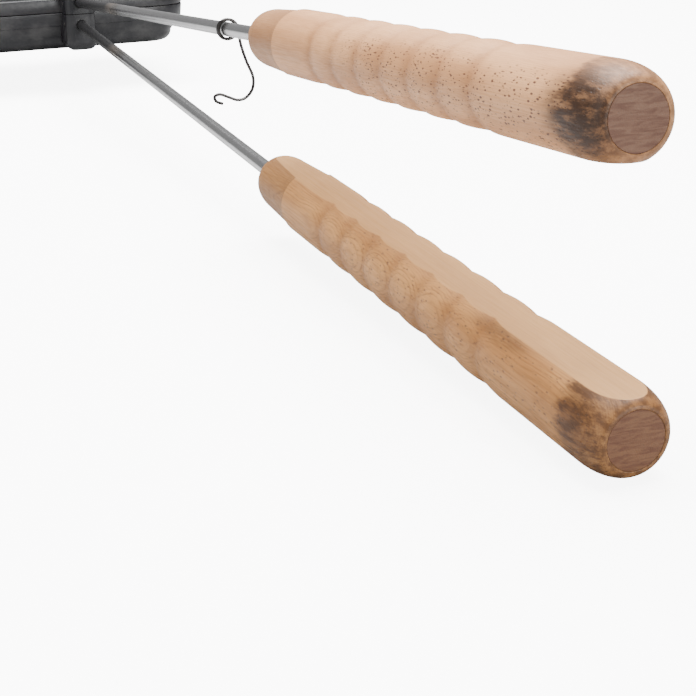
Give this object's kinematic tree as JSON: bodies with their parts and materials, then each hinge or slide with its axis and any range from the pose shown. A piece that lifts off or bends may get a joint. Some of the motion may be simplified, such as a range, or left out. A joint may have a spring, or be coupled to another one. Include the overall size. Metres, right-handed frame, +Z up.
{
  "type": "hinged campfire cooking iron",
  "caption": "Square hinged cast cooking iron with ribbed pans, long steel rods, grooved wooden grips and a swinging wire hook that latches the handles.",
  "frame": {"origin": "middle of the underside of the whole iron's box, closed, with the parting plane of the pans level", "axes": "+Z up, +Y from the grips towards the pans and their hinge, +X across, along the hinge axis"},
  "size_m": [0.134, 0.767, 0.0915],
  "materials": {
    "cast_iron": "seasoned black, fine sand-cast texture, satin",
    "bright_steel": "bright drawn rod, blackened near the pans",
    "dark_wire": "dark drawn wire, glossy",
    "beech_tan": "turned beech, tan, flecked, oiled satin",
    "beech_pink": "turned beech, pinkish, flecked, oiled satin",
    "zinc_plate": "zinc plated"
  },
  "bodies": {
    "lower_half": {"lower_pan": "cast_iron", "lower_rod": "bright_steel", "lower_rod_pin": "bright_steel", "lower_grip": "beech_tan", "lower_grip_plug": "beech_tan", "lower_tang_washer": "zinc_plate", "lower_tang_nut": "zinc_plate", "hinge_pin_left": "bright_steel", "hinge_pin_right": "bright_steel", "hinge_washer_left": "zinc_plate", "hinge_washer_right": "zinc_plate", "split_pin_left": "zinc_plate", "split_pin_right": "zinc_plate"},
    "upper_half": {"upper_pan": "cast_iron", "upper_rod": "bright_steel", "upper_rod_pin": "bright_steel", "upper_grip": "beech_pink", "upper_grip_plug": "beech_pink", "upper_tang_washer": "zinc_plate", "upper_tang_nut": "zinc_plate"},
    "hook": {"s_hook": "dark_wire"}
  },
  "joints": [
    {"name": "pan_hinge", "type": "hinge", "parent": "lower_half", "child": "upper_half", "pos_m": [0, 0.37704, 0.04583], "axis": [-1, 0, 0], "range_deg": [0, 180]},
    {"name": "hook_swing", "type": "hinge", "parent": "upper_half", "child": "hook", "pos_m": [0, -0.08013, 0.06801], "axis": [0, -0.9986, 0.0527], "continuous": true}
  ]
}
